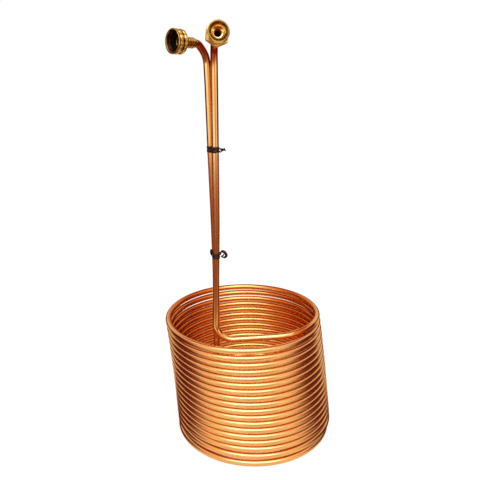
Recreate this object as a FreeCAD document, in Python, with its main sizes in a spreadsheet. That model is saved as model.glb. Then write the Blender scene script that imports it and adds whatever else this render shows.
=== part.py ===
import FreeCAD, Part
import Sketcher
import math
import os

Vector = FreeCAD.Vector

# Immersion wort chiller: one soft copper tube wound into a coil that stands on its
# lowest turn, with both ends rising side by side to two brass garden hose fittings.
# Millimetres. X to the right, Y away from the front, Z up, origin on the floor under
# the middle of the whole chiller.

document = FreeCAD.newDocument("WortChiller")
sheet = document.addObject("Spreadsheet::Sheet", "Sizes")

# Driving dimensions, each under the word that names it
DRIVING_SIZES = {
    # copper tube, 3/8 inch outside
    "tube_diameter": 9.525,
    "tube_wall": 0.8128,
    "open_bore_drop": 34.0,
    # coil: where its axis stands, its turns and the gaps between them
    "axis_right": 7.59,
    "axis_back": 4.5,
    "coil_radius": 122.5,
    "coil_narrowing": 3.5,
    "start_angle": -6.5,
    "touch_angle": 205.0,
    "whole_turns": 17.0,
    "turn_gap": 0.97,
    "loose_turns": 2.3,
    "loose_turn_gap": 2.15,
    "foot_turns": 1.22,
    "foot_turn_gap": 2.55,
    "run_out_turns": 0.61,
    "run_out_gap": 6.45,
    "lean_straight": 12.3,
    "lean_curved": 6.3,
    "floor_cut": 0.5,
    # lowest turn, drawn in over the floor to the foot of the inlet riser
    "level_arc": 82.0,
    "drawn_in_angle": 540.0,
    "drawn_in_gap": 0.65,
    "drawn_in_ease": 1.5,
    "foot_bend_radius": 25.0,
    "foot_heading": -53.0,
    "foot_run": 3.0,
    # risers, one behind the other
    "riser_inset": 24.35,
    "riser_angle": 245.3,
    "riser_gap": 0.6,
    "chord_length": 85.0,
    "chord_drop": 3.6,
    "chord_fall": 5.0,
    "chord_bend_radius": 25.0,
    "riser_height": 602.5,
    "sway_height": 360.0,
    "sway": 4.6,
    "top_sway": 6.6,
    "top_lean": 2.8,
    "sweeping_radius": 900.0,
    "twist_foot_height": 300.0,
    "twist_top_height": 548.0,
    "twist_start": 6.0,
    "riser_twist": 56.0,
    "inlet_bow": 1.1,
    "inlet_height": 585.7,
    # directions of the two fittings, in degrees
    "outlet_turn": 9.0,
    "outlet_tilt": 9.7,
    "outlet_bend_radius": 20.0,
    "inlet_turn": -47.8,
    "inlet_tilt": 2.4,
    "inlet_bend_radius": 28.0,
    "inlet_slope": 46.3,
    "inlet_slope_length": 19.8,
    "inlet_knee_radius": 9.0,
    # male hose fitting on the outlet
    "male_thread_diameter": 26.97,
    "male_thread_length": 11.2,
    "male_rim_diameter": 24.9,
    "male_relief_diameter": 23.6,
    "male_relief_length": 1.5,
    "male_mouth_diameter": 20.6,
    "male_mouth_depth": 3.5,
    "male_mouth_taper": 0.5,
    "male_funnel_depth": 13.0,
    "male_tube_depth": 14.0,
    "male_barb_length": 12.2,
    "male_barb_lead": 1.0,
    "hex_width": 26.9875,
    "hex_length": 7.5,
    "hex_corner_cut": 1.4,
    "hex_roll": 8.0,
    # swivel nut on the inlet
    "nut_diameter": 30.4,
    "nut_length": 14.6,
    "nut_lip_length": 1.1,
    "nut_lip_round": 0.9,
    "nut_ribs": 2.0,
    "nut_groove_width": 2.0,
    "nut_groove_depth": 1.2,
    "nut_bore_diameter": 25.3,
    "nut_mouth_diameter": 27.2,
    "nut_thread_end": 7.2,
    "nut_relief_diameter": 26.2,
    "nut_end_wall": 2.2,
    "nut_shoulder": 1.6,
    "nut_flats": 10.0,
    "nut_flat_depth": 0.75,
    # tailpiece that the nut turns on
    "neck_diameter": 14.0,
    "swivel_clearance": 0.25,
    "end_play": 0.3,
    "flange_thickness": 1.8,
    "flange_rim_gap": 0.5,
    "flange_mouth_diameter": 11.0,
    "stem_barb_length": 19.4,
    "stem_barb_lead": 7.0,
    "stem_tube_recess": 0.6,
    # hose barbs
    "barb_diameter": 13.4,
    "barb_root_diameter": 12.2,
    "barb_nose_diameter": 11.6,
    "barb_ridges": 3.0,
    "barb_land": 0.5,
    # solder and hose washer
    "solder_clearance": 0.07,
    "solder_length": 1.8,
    "solder_edge": 0.25,
    "solder_run": 2.0,
    "washer_thickness": 2.6,
    "washer_bore": 15.0,
    "washer_rim_gap": 0.2,
    "washer_gap": 0.3,
    # flat twist ties round both risers
    "tie_width": 4.0,
    "tie_thickness": 0.7,
    "tie_clearance": 0.2,
    "tie_wrap_gap": 1.15,
    "tie_wraps": 2.0,
    "tie_lead": 3.5,
    "tie_pinch": 7.0,
    "tie_tail": 5.0,
    "upper_tie_height": 466.0,
    "lower_tie_height": 318.0,
}

for row, (word, number) in enumerate(DRIVING_SIZES.items(), start=1):
    sheet.set(f"A{row}", word)
    sheet.set(f"B{row}", str(number))
    sheet.setAlias(f"B{row}", word)
document.recompute()


def size(word):
    """The number that the sheet holds under a word."""
    return float(sheet.get(word))


tube_radius = size("tube_diameter") / 2
UP = Vector(0, 0, 1)


# Curves of a centre line: straight runs and tangent arcs in space

def level(degrees):
    """Unit vector at an angle from +X, in the level plane."""
    return Vector(math.cos(math.radians(degrees)), math.sin(math.radians(degrees)), 0)


def arc_points(tail, way, tip):
    """Three points of the arc that leaves a tail along a way and ends at a tip."""
    chord = tip - tail
    side = chord - way * chord.dot(way)
    half_turn = math.atan2(side.Length, chord.dot(way))
    outward = way * chord.dot(side) - side * chord.dot(way)
    rise = chord.Length / 2 * math.tan(half_turn / 2)
    return [tail, (tail + tip) / 2 + outward.normalize() * rise, tip]


def biarc(start, start_way, end, end_way):
    """Two arcs that leave one point along a way and reach another along a way."""
    across = end - start
    along = across.dot(start_way + end_way)
    spread = 2 * (1 - start_way.dot(end_way))
    reach = (math.sqrt(along ** 2 + spread * across.dot(across)) - along) / spread
    knee = (start + end + (start_way - end_way) * reach) / 2
    first = arc_points(start, start_way, knee)
    second = arc_points(end, end_way * -1, knee)
    return [Part.Arc(*first).toShape(), Part.Arc(*reversed(second)).toShape()]


def rounded_route(corners):
    """Straight runs through corners, each given as a point and its bend radius."""
    edges = []
    tail = corners[0][0]
    for index in range(1, len(corners) - 1):
        corner, radius = corners[index]
        arriving = (corner - tail).normalize()
        leaving = (corners[index + 1][0] - corner).normalize()
        turn = arriving.getAngle(leaving)
        tangent = radius * math.tan(turn / 2)
        inward = (leaving - arriving).normalize()
        middle = corner + inward * (radius / math.cos(turn / 2) - radius)
        bend_start = corner - arriving * tangent
        bend_end = corner + leaving * tangent
        edges.append(Part.LineSegment(tail, bend_start).toShape())
        edges.append(Part.Arc(bend_start, middle, bend_end).toShape())
        tail = bend_end
    edges.append(Part.LineSegment(tail, corners[-1][0]).toShape())
    return edges


def tube_along(edges, radius):
    """A round bar swept along joined edges as one pipe shell."""
    start = edges[0].valueAt(edges[0].FirstParameter)
    way = edges[0].tangentAt(edges[0].FirstParameter)
    ring = Part.Wire([Part.makeCircle(radius, start, way)])
    return Part.Wire(edges).makePipeShell([ring], True, False)


def least_gap_to_itself(edges, thickness, width=0.0):
    """Least gap between stretches of a tube, or of an upright ribbon of some width,
    that are not neighbours along it."""
    spacing = (thickness + width) / 8
    rows = int(width / spacing) + 1
    points = []
    run = 0.0
    for edge in edges:
        count = int(edge.Length / spacing) + 2
        for index in range(count):
            along = index / count * edge.Length
            spot = edge.valueAt(edge.getParameterByLength(along))
            for row in range(rows):
                height = spot.z + (row / max(1, rows - 1) - 0.5) * width
                points.append((run + along, spot.x, spot.y, height))
        run += edge.Length
    neighbour_run = 4 * (thickness + width)
    cell = 1.5 * (thickness + width)
    cells = {}
    for point in points:
        key = tuple(int(math.floor(value / cell)) for value in point[1:])
        cells.setdefault(key, []).append(point)
    reach = (-1, 0, 1)
    least = cell
    for (i, j, k), near in cells.items():
        around = [cells.get((i + a, j + b, k + c), ()) for a in reach for b in reach for c in reach]
        for point in near:
            for others in around:
                for other in others:
                    if other[0] - point[0] > neighbour_run:
                        least = min(least, math.dist(point[1:], other[1:]))
    return least - thickness


# The coil: a left-handed helix that narrows and leans to the left towards its top

coil_axis = Vector(size("axis_right"), size("axis_back"), 0)
foot_level = tube_radius - size("floor_cut")
coil_sweep = 360 * size("whole_turns") + size("touch_angle") - size("start_angle")
coil_turns = coil_sweep / 360


def height_over_foot(turns_left):
    """Height of the helix over the lowest turn, with some turns still to go."""
    run_out = min(turns_left, size("run_out_turns"))
    foot = min(turns_left - run_out, size("foot_turns"))
    loose = max(0.0, turns_left - (coil_turns - size("loose_turns")))
    middle = turns_left - run_out - foot - loose
    gaps = (run_out * size("run_out_gap") + foot * size("foot_turn_gap")
            + middle * size("turn_gap") + loose * size("loose_turn_gap"))
    return turns_left * size("tube_diameter") + gaps


def lean(share):
    """How far the coil's middle stands to the left at a share of its height."""
    return size("lean_straight") * share + size("lean_curved") * share ** 2


def coil_point(turns_done):
    """Point of the coil's centre line after some turns from the top."""
    height = height_over_foot(coil_turns - turns_done)
    share = height / height_over_foot(coil_turns)
    radius = size("coil_radius") - size("coil_narrowing") * share
    spot = coil_axis + level(size("start_angle") + 360 * turns_done) * radius
    return spot + Vector(-lean(share), 0, foot_level + height)


def coil_way(turns_done):
    """Direction of the coil's centre line there."""
    step = 0.01
    before = coil_point(max(0.0, turns_done - step))
    after = coil_point(min(coil_turns, turns_done + step))
    return (after - before).normalize()


ring_way = level(size("touch_angle") + 90)
biarc_count = round(coil_turns * 2)
coil_edges = []
place = coil_point(0)
way = coil_way(0)
for index in range(1, biarc_count + 1):
    turns_done = coil_turns * index / biarc_count
    next_place = coil_point(turns_done)
    next_way = ring_way if index == biarc_count else coil_way(turns_done)
    coil_edges += biarc(place, way, next_place, next_way)
    place, way = next_place, next_way


# The lowest turn: level on the floor, then drawn inwards past the turn above

drawn_in_arc = size("drawn_in_angle") - size("touch_angle") - size("level_arc")
drawn_in_distance = 3 * (size("tube_diameter") + size("drawn_in_gap"))


def floor_point(degrees_past_touch):
    """Point of the lowest turn, past where the helix meets the floor."""
    drawn = max(0.0, degrees_past_touch - size("level_arc")) / drawn_in_arc
    radius = size("coil_radius") - drawn_in_distance * drawn ** size("drawn_in_ease")
    spot = coil_axis + level(size("touch_angle") + degrees_past_touch) * radius
    return spot + UP * foot_level


floor_edges = []
floor_stations = 5
for index in range(floor_stations):
    degrees = size("level_arc") + drawn_in_arc * index / (floor_stations - 1)
    next_place = floor_point(degrees)
    next_way = (floor_point(degrees + 1) - next_place).normalize()
    if index == 0:
        next_way = level(size("touch_angle") + degrees + 90)
    floor_edges += biarc(place, way, next_place, next_way)
    place, way = next_place, next_way


# Both risers stand inside the front of the mouth, the inlet's behind the outlet's

mouth_centre = coil_axis - Vector(lean(1), 0, 0)
riser_reach = size("coil_radius") - size("coil_narrowing") - size("riser_inset")
riser_spacing = size("tube_diameter") + size("riser_gap")
outlet_foot = mouth_centre + level(size("riser_angle")) * riser_reach
inlet_foot = outlet_foot + Vector(0, riser_spacing, 0)
chord_height = coil_point(0).z - size("chord_drop")
corner_height = chord_height - size("chord_fall")


def outlet_riser_at(height):
    """Point of the outlet riser's line at a height."""
    lower = (height - corner_height) / (size("sway_height") - corner_height)
    upper = (height - size("sway_height")) / (size("riser_height") - size("sway_height"))
    upper = max(0.0, upper)
    right = size("sway") * min(1.0, lower) + (size("top_sway") - size("sway")) * upper
    return outlet_foot + Vector(right, size("top_lean") * upper, height)


def inlet_riser_at(height):
    """Point beside the outlet riser, where the inlet riser winds round it."""
    rise = size("twist_top_height") - size("twist_foot_height")
    share = (height - size("twist_foot_height")) / rise
    twist = size("twist_start") + (size("riser_twist") - size("twist_start")) * share
    return outlet_riser_at(height) + level(90 + twist) * riser_spacing


def heading(turn, tilt):
    """Direction that faces the front, turned towards +X and tilted up, in degrees."""
    flat = level(turn - 90) * math.cos(math.radians(tilt))
    return flat + UP * math.sin(math.radians(tilt))


# Outlet: from its fitting down the riser, along the chord and into the first turn

outlet_way = heading(size("outlet_turn"), size("outlet_tilt"))
outlet_corner = outlet_riser_at(size("riser_height"))
sway_corner = outlet_riser_at(size("sway_height"))
chord_corner = outlet_riser_at(corner_height)
chord_end = outlet_foot + Vector(size("chord_length"), 0, chord_height)
male_length = (size("male_thread_length") + size("male_relief_length")
               + size("hex_length") + size("male_barb_length"))
turn = (sway_corner - outlet_corner).getAngle(outlet_way * -1)
tangent = size("outlet_bend_radius") * math.tan(turn / 2)
male_nose = outlet_corner + outlet_way * (tangent + size("solder_run"))
male_mouth = male_nose + outlet_way * male_length
outlet_end = male_mouth - outlet_way * size("male_tube_depth")
outlet_edges = rounded_route([
    (outlet_end, 0),
    (outlet_corner, size("outlet_bend_radius")),
    (sway_corner, size("sweeping_radius")),
    (chord_corner, size("chord_bend_radius")),
    (chord_end, 0),
])
chord_way = (chord_end - chord_corner).normalize()
outlet_edges += biarc(chord_end, chord_way, coil_point(0), coil_way(0))

# Inlet: up from the floor behind the outlet riser, winding round it to the left

inlet_way = heading(size("inlet_turn"), size("inlet_tilt"))
foot_way = level(size("foot_heading"))
foot_corner = inlet_foot + UP * foot_level
foot_start = foot_corner - foot_way * (size("foot_bend_radius") + size("foot_run"))
floor_edges += biarc(place, way, foot_start, foot_way)
inlet_corners = [(foot_start, 0), (foot_corner, size("foot_bend_radius"))]
twist_steps = 3
for index in range(twist_steps):
    rise = size("twist_top_height") - size("twist_foot_height")
    spot = inlet_riser_at(size("twist_foot_height") + rise * index / twist_steps)
    inlet_corners.append((spot, size("sweeping_radius")))
bow_corner = inlet_riser_at(size("twist_top_height"))
inlet_corner = Vector(bow_corner.x - size("inlet_bow"), bow_corner.y, size("inlet_height"))
slope_way = heading(size("inlet_turn"), size("inlet_slope"))
knee_corner = inlet_corner + slope_way * size("inlet_slope_length")
turn = slope_way.getAngle(inlet_way)
tangent = size("inlet_knee_radius") * math.tan(turn / 2)
stem_nose = knee_corner + inlet_way * (tangent + size("solder_run"))
nut_mouth = stem_nose + inlet_way * (size("stem_barb_length") + size("nut_length"))
stem_face_depth = (size("nut_length") - size("nut_end_wall") - size("end_play")
                   - size("flange_thickness"))
inlet_end = nut_mouth - inlet_way * (stem_face_depth + size("stem_tube_recess"))
inlet_corners += [
    (bow_corner, size("sweeping_radius") / 10),
    (inlet_corner, size("inlet_bend_radius")),
    (knee_corner, size("inlet_knee_radius")),
    (inlet_end, 0),
]
inlet_edges = rounded_route(inlet_corners)

# The copper tube, cut flat where it stands on the floor and open at both ends

tube_edges = outlet_edges + coil_edges + floor_edges + inlet_edges
tube_length = sum(edge.Length for edge in tube_edges)
tube_section = math.pi * tube_radius ** 2
bar = tube_along(tube_edges, tube_radius)
print("tube length", round(tube_length, 1))
print("tube volume over section times length", round(bar.Volume / tube_section / tube_length, 5))
print("least gap of the tube to itself",
      round(least_gap_to_itself(tube_edges, size("tube_diameter")), 3))

floor_width = 2 * (size("coil_radius") + size("tube_diameter"))
floor_corner = coil_axis - Vector(floor_width / 2, floor_width / 2, size("tube_diameter"))
floor_block = Part.makeBox(floor_width, floor_width, size("tube_diameter"), floor_corner)
copper = bar.cut(floor_block)
outlet_bends = [(outlet_corner, size("outlet_bend_radius"))]
inlet_bends = [
    (knee_corner, size("inlet_knee_radius")),
    (inlet_corner, size("inlet_bend_radius")),
]
for end, end_way, bends, beyond in (
        (outlet_end, outlet_way, outlet_bends, sway_corner),
        (inlet_end, inlet_way, inlet_bends, bow_corner)):
    last_corner = bends[-1][0]
    past_bends = last_corner + (beyond - last_corner).normalize() * size("open_bore_drop")
    bore_edges = rounded_route([(end + end_way, 0)] + bends + [(past_bends, 0)])
    copper = copper.cut(tube_along(bore_edges, tube_radius - size("tube_wall")))

copper_tube = document.addObject("Part::Feature", "copper_tube")
copper_tube.Label = "copper_tube"
copper_tube.Shape = copper


# Twist ties: a flat ribbon wound twice round both risers, its ends pinched to the right

def tie_edges(height):
    """Centre line of the ribbon wound round both risers at a height."""
    right_tube = outlet_riser_at(height)
    left_tube = inlet_riser_at(height)
    rightward = (right_tube - left_tube).normalize()
    outward = rightward.cross(UP)
    reach = tube_radius + size("tie_clearance") + size("tie_thickness") / 2
    pitch = size("tie_width") + size("tie_wrap_gap")
    bend = math.pi * reach
    slope = pitch / (2 * (riser_spacing + bend))
    rising = UP * slope
    windings = int(size("tie_wraps"))
    half_length = windings * riser_spacing + (windings - 0.5) * bend

    def beside(tube, side, travel):
        """Point of the ribbon beside one riser after some length of winding."""
        return tube + outward * (side * reach) + UP * ((travel - half_length) * slope)

    def pinched(side):
        """Where an end is pinched, to the right of both risers, and the end itself."""
        place = right_tube + rightward * (reach + size("tie_pinch")) + UP * (side * pitch / 2)
        return place, place + rightward * size("tie_tail")

    leftward_rising = (rightward * -1 + rising).normalize()
    rightward_rising = (rightward + rising).normalize()
    pinch, end = pinched(-1)
    spot = beside(right_tube, -1, 0) - leftward_rising * size("tie_lead")
    edges = [Part.LineSegment(end, pinch).toShape()]
    edges += biarc(pinch, rightward * -1, spot, leftward_rising)
    travel = 0.0
    for winding in range(windings):
        for tube, side, bend_way, turned_way in (
                (left_tube, -1, leftward_rising, rightward_rising),
                (right_tube, 1, rightward_rising, leftward_rising)):
            travel += riser_spacing
            next_spot = beside(tube, side, travel)
            if tube is right_tube and winding == windings - 1:
                next_spot += rightward_rising * size("tie_lead")
            edges.append(Part.LineSegment(spot, next_spot).toShape())
            spot = next_spot
            if tube is right_tube and winding == windings - 1:
                break
            travel += bend
            next_spot = beside(tube, -side, travel)
            edges += biarc(spot, bend_way, next_spot, turned_way)
            spot = next_spot
    pinch, end = pinched(1)
    edges += biarc(spot, rightward_rising, pinch, rightward)
    edges.append(Part.LineSegment(pinch, end).toShape())
    return edges, outward


for name, word in (
        ("upper_twist_tie", "upper_tie_height"),
        ("lower_twist_tie", "lower_tie_height")):
    edges, outward = tie_edges(size(word))
    end = edges[0].valueAt(edges[0].FirstParameter)
    thick = outward * (size("tie_thickness") / 2)
    wide = UP * (size("tie_width") / 2)
    section = Part.makePolygon([end + thick + wide, end - thick + wide, end - thick - wide,
                                end + thick - wide, end + thick + wide])
    ribbon = Part.BRepOffsetAPI.MakePipeShell(Part.Wire(edges))
    ribbon.setBiNormalMode(UP)
    ribbon.add(section)
    ribbon.build()
    ribbon.makeSolid()
    tie = document.addObject("Part::Feature", name)
    tie.Label = name
    tie.Shape = ribbon.shape()
    gap = least_gap_to_itself(edges, size("tie_thickness"), size("tie_width"))
    print(name, "least gap to itself", round(gap, 3),
          "volume over section times length",
          round(tie.Shape.Volume / size("tie_width") / size("tie_thickness")
                / sum(edge.Length for edge in edges), 4))


# Turned pieces: bodies whose own Z axis runs out through the mouth they face

def new_body(label, mouth, way):
    """A body with its origin in the middle of a mouth and its Y axis upright."""
    body = document.addObject("PartDesign::Body", label)
    body.Label = label
    body.Placement = FreeCAD.Placement(mouth, FreeCAD.Rotation(Vector(), UP, way, "ZYX"))
    return body


def outline(body, name, role, loops):
    """A sketch of closed straight-sided loops, each corner bound to the sheet."""
    planes = body.Origin.OriginFeatures
    sketch = body.newObject("Sketcher::SketchObject", name)
    sketch.AttachmentSupport = [(next(p for p in planes if p.Role == role), "")]
    sketch.MapMode = "FlatFace"
    for corners in loops:
        count = len(corners)
        first = sketch.GeometryCount
        for index in range(count):
            begin = level(360 * index / count) * size("nut_diameter")
            end = level(360 * (index + 1) / count) * size("nut_diameter")
            sketch.addGeometry(Part.LineSegment(begin, end), False)
        for index in range(count):
            following = first + (index + 1) % count
            sketch.addConstraint(Sketcher.Constraint("Coincident", first + index, 2, following, 1))
        for index, corner in enumerate(corners):
            for kind, formula in zip(("DistanceX", "DistanceY"), corner):
                number = sketch.addConstraint(
                    Sketcher.Constraint(kind, -1, 1, first + index, 1, 1.0))
                sketch.setExpression(f"Constraints[{number}]", formula)
    return sketch


def turned(body, name, corners):
    """A full revolution of a straight-sided outline about the body's axis."""
    sketch = outline(body, name + "_outline", "XZ_Plane", [corners])
    revolution = body.newObject("PartDesign::Revolution", name)
    revolution.Profile = sketch
    revolution.ReferenceAxis = (sketch, ["V_Axis"])
    revolution.Angle = 360
    document.recompute()


def barb(front, lead, length):
    """Outline corners of a hose barb: a plain lead behind its front, then ridges to its nose."""
    ridges = int(size("barb_ridges"))
    step = f"({length} - {lead}) / Sizes.barb_ridges"
    corners = [("Sizes.barb_root_diameter / 2", f"-({front} + {lead})")]
    for index in range(ridges):
        peak = f"{front} + {lead} + {step} * {index}"
        foot = "nose" if index == ridges - 1 else "root"
        corners += [
            ("Sizes.barb_diameter / 2", f"-({peak})"),
            ("Sizes.barb_diameter / 2", f"-({peak} + Sizes.barb_land)"),
            (f"Sizes.barb_{foot}_diameter / 2", f"-({peak} + {step})"),
        ]
    return corners


# Bores that the tube is soldered into
TUBE_BORE = "(Sizes.tube_diameter / 2 + Sizes.solder_clearance)"

# Outlet adapter: male hose thread, hexagon and hose barb, turned from one brass bar
HEX_FRONT = "(Sizes.male_thread_length + Sizes.male_relief_length)"
HEX_BACK = f"({HEX_FRONT} + Sizes.hex_length)"
MALE_NOSE = f"({HEX_BACK} + Sizes.male_barb_length)"
adapter = new_body("outlet_adapter", male_mouth, outlet_way)
turned(adapter, "adapter_turning", [
    ("Sizes.male_mouth_diameter / 2", "0"),
    ("Sizes.male_rim_diameter / 2", "0"),
    ("Sizes.male_thread_diameter / 2", "-(Sizes.male_thread_diameter - Sizes.male_rim_diameter) / 2"),
    ("Sizes.male_thread_diameter / 2", "-Sizes.male_thread_length"),
    ("Sizes.male_relief_diameter / 2", "-Sizes.male_thread_length"),
    ("Sizes.male_relief_diameter / 2", f"-{HEX_BACK}"),
    ("Sizes.barb_root_diameter / 2", f"-{HEX_BACK}"),
] + barb(HEX_BACK, "Sizes.male_barb_lead", "Sizes.male_barb_length") + [
    (TUBE_BORE, f"-{MALE_NOSE}"),
    (TUBE_BORE, "-Sizes.male_funnel_depth"),
    ("Sizes.male_mouth_diameter / 2 - Sizes.male_mouth_taper", "-Sizes.male_mouth_depth"),
])

hexagon = outline(adapter, "hexagon", "XY_Plane", [[
    (f"Sizes.hex_width / sqrt(3) * cos({side} * 60 - 90 - Sizes.hex_roll)",
     f"Sizes.hex_width / sqrt(3) * sin({side} * 60 - 90 - Sizes.hex_roll)")
    for side in range(6)]])
hexagon_core = hexagon.addGeometry(Part.Circle(Vector(), UP, tube_radius), False)
hexagon.addConstraint(Sketcher.Constraint("Coincident", hexagon_core, 3, -1, 1))
core_size = hexagon.addConstraint(Sketcher.Constraint("Radius", hexagon_core, tube_radius))
core_radius = "Sizes.male_relief_diameter / 2 - Sizes.male_mouth_taper"
hexagon.setExpression(f"Constraints[{core_size}]", core_radius)
hexagon.setExpression(".AttachmentOffset.Base.z", f"-{HEX_FRONT}")
hex_pad = adapter.newObject("PartDesign::Pad", "hexagon_pad")
hex_pad.Profile = hexagon
hex_pad.Reversed = True
hex_pad.setExpression("Length", "Sizes.hex_length")
document.recompute()

corner_out = "(Sizes.hex_width / sqrt(3) + Sizes.hex_corner_cut)"
corner_in = "(Sizes.hex_width / sqrt(3) - Sizes.hex_corner_cut)"
corner_cuts = outline(adapter, "corner_cuts", "XZ_Plane", [
    [(corner_in, f"-{HEX_FRONT}"), (corner_out, f"-{HEX_FRONT}"),
     (corner_out, f"-({HEX_FRONT} + Sizes.hex_corner_cut)")],
    [(corner_in, f"-{HEX_BACK}"), (corner_out, f"-({HEX_BACK} - Sizes.hex_corner_cut)"),
     (corner_out, f"-{HEX_BACK}")],
])
corner_groove = adapter.newObject("PartDesign::Groove", "corner_groove")
corner_groove.Profile = corner_cuts
corner_groove.ReferenceAxis = (corner_cuts, ["V_Axis"])
corner_groove.Angle = 360
document.recompute()
if corner_groove.Shape.Volume >= hex_pad.Shape.Volume:
    raise RuntimeError("the hexagon's corners are not cut")

# Swivel nut: a turned shell with ribs that are filed flat all round for the fingers
RIB_STEP = "((Sizes.nut_length - Sizes.nut_lip_length) / Sizes.nut_ribs)"
nut_corners = [
    ("Sizes.nut_mouth_diameter / 2", "0"),
    ("Sizes.nut_diameter / 2 - Sizes.nut_lip_round", "0"),
    ("Sizes.nut_diameter / 2", "-Sizes.nut_lip_round"),
]
for rib in range(int(size("nut_ribs"))):
    groove = f"Sizes.nut_lip_length + {RIB_STEP} * {rib}"
    nut_corners += [
        ("Sizes.nut_diameter / 2", f"-({groove})"),
        ("Sizes.nut_diameter / 2 - Sizes.nut_groove_depth", f"-({groove} + Sizes.nut_groove_width / 2)"),
        ("Sizes.nut_diameter / 2", f"-({groove} + Sizes.nut_groove_width)"),
    ]
nut_corners += [
    ("Sizes.nut_diameter / 2", "-(Sizes.nut_length - Sizes.nut_shoulder)"),
    ("Sizes.nut_diameter / 2 - Sizes.nut_shoulder", "-Sizes.nut_length"),
    ("Sizes.neck_diameter / 2 + Sizes.swivel_clearance", "-Sizes.nut_length"),
    ("Sizes.neck_diameter / 2 + Sizes.swivel_clearance", "-(Sizes.nut_length - Sizes.nut_end_wall)"),
    ("Sizes.nut_relief_diameter / 2", "-(Sizes.nut_length - Sizes.nut_end_wall)"),
    ("Sizes.nut_relief_diameter / 2", "-Sizes.nut_thread_end"),
    ("Sizes.nut_bore_diameter / 2", "-Sizes.nut_thread_end"),
    ("Sizes.nut_bore_diameter / 2", "-(Sizes.nut_mouth_diameter - Sizes.nut_bore_diameter) / 2"),
]
nut = new_body("inlet_swivel_nut", nut_mouth, inlet_way)
turned(nut, "nut_turning", nut_corners)
nut_turning = nut.Tip

flat_in = "(Sizes.nut_diameter / 2 - Sizes.nut_flat_depth)"
flat_side = "(Sizes.nut_diameter * sin(180 / Sizes.nut_flats) / 2)"
flat_cut = outline(nut, "flat_cut", "XY_Plane", [[
    (flat_in, f"-{flat_side}"),
    ("Sizes.nut_diameter", f"-{flat_side}"),
    ("Sizes.nut_diameter", flat_side),
    (flat_in, flat_side),
]])
first_rib = "-(Sizes.nut_lip_length + Sizes.nut_groove_width / 2)"
flat_cut.setExpression(".AttachmentOffset.Base.z", first_rib)
flat_pocket = nut.newObject("PartDesign::Pocket", "flat_pocket")
flat_pocket.Profile = flat_cut
flat_pocket.setExpression("Length", "Sizes.nut_length")
document.recompute()
flats = nut.newObject("PartDesign::PolarPattern", "finger_flats")
flats.Originals = [flat_pocket]
flats.Axis = (flat_cut, ["N_Axis"])
flats.Angle = 360
flats.Occurrences = int(size("nut_flats"))
nut.Tip = flats
document.recompute()
if not flats.Shape.Volume < flat_pocket.Shape.Volume < nut_turning.Shape.Volume:
    raise RuntimeError("the nut's finger flats are not cut")

# Tailpiece: the flange that the nut pulls on, the neck it turns on and the hose barb
NUT_WALL_FACE = "(Sizes.nut_length - Sizes.nut_end_wall)"
FLANGE_BACK = f"({NUT_WALL_FACE} - Sizes.end_play)"
FLANGE_FACE = f"({FLANGE_BACK} - Sizes.flange_thickness)"
FLANGE_RIM = "(Sizes.nut_bore_diameter / 2 - Sizes.flange_rim_gap)"
STEM_NOSE = "(Sizes.nut_length + Sizes.stem_barb_length)"
stem = new_body("inlet_stem", nut_mouth, inlet_way)
turned(stem, "stem_turning", [
    ("Sizes.flange_mouth_diameter / 2", f"-{FLANGE_FACE}"),
    (FLANGE_RIM, f"-{FLANGE_FACE}"),
    (FLANGE_RIM, f"-{FLANGE_BACK}"),
    ("Sizes.neck_diameter / 2", f"-{FLANGE_BACK}"),
    ("Sizes.neck_diameter / 2", "-(Sizes.nut_length + Sizes.end_play)"),
    ("Sizes.barb_root_diameter / 2", "-(Sizes.nut_length + Sizes.end_play)"),
] + barb("Sizes.nut_length", "Sizes.stem_barb_lead", "Sizes.stem_barb_length") + [
    (TUBE_BORE, f"-{STEM_NOSE}"),
    (TUBE_BORE, f"-({FLANGE_FACE} + Sizes.stem_tube_recess)"),
])

# Hose washer: a flat rubber ring in the relief behind the nut's thread, on the flange
WASHER_BACK = f"({FLANGE_FACE} - Sizes.washer_gap)"
WASHER_FACE = f"({WASHER_BACK} - Sizes.washer_thickness)"
WASHER_RIM = "(Sizes.nut_relief_diameter / 2 - Sizes.washer_rim_gap)"
washer = new_body("hose_washer", nut_mouth, inlet_way)
turned(washer, "washer_ring", [
    ("Sizes.washer_bore / 2", f"-{WASHER_FACE}"),
    (WASHER_RIM, f"-{WASHER_FACE}"),
    (WASHER_RIM, f"-{WASHER_BACK}"),
    ("Sizes.washer_bore / 2", f"-{WASHER_BACK}"),
])

# Solder: a small fillet where the tube goes into the nose of each barb
for label, mouth, mouth_way, nose in (
        ("outlet_solder", male_mouth, outlet_way, MALE_NOSE),
        ("inlet_solder", nut_mouth, inlet_way, STEM_NOSE)):
    solder = new_body(label, mouth, mouth_way)
    turned(solder, label + "_ring", [
        (TUBE_BORE, f"-{nose}"),
        ("Sizes.barb_nose_diameter / 2 - Sizes.solder_edge", f"-{nose}"),
        (f"{TUBE_BORE} + Sizes.solder_edge", f"-({nose} + Sizes.solder_length)"),
        (TUBE_BORE, f"-({nose} + Sizes.solder_length)"),
    ])

# Every sub-part is checked before anything is written
document.recompute()
for item in document.Objects:
    if "Invalid" in item.State or "Error" in item.State:
        raise RuntimeError(f"{item.Label} failed: {item.State}")
subparts = [item for item in document.Objects
            if item.TypeId == "PartDesign::Body" or item.TypeId == "Part::Feature"]
for subpart in subparts:
    if subpart.Shape.isNull() or not subpart.Shape.isValid():
        raise RuntimeError(f"{subpart.Label} has no valid shape")

os.makedirs("parts", exist_ok=True)
whole = FreeCAD.BoundBox()
for subpart in subparts:
    subpart.Shape.exportStep(f"parts/{subpart.Label}.step")
    whole.add(subpart.Shape.optimalBoundingBox(False))
print("whole box", whole)
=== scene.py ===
import math

import bmesh
import bpy
from mathutils import Matrix, Vector, noise as lump_noise


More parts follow.
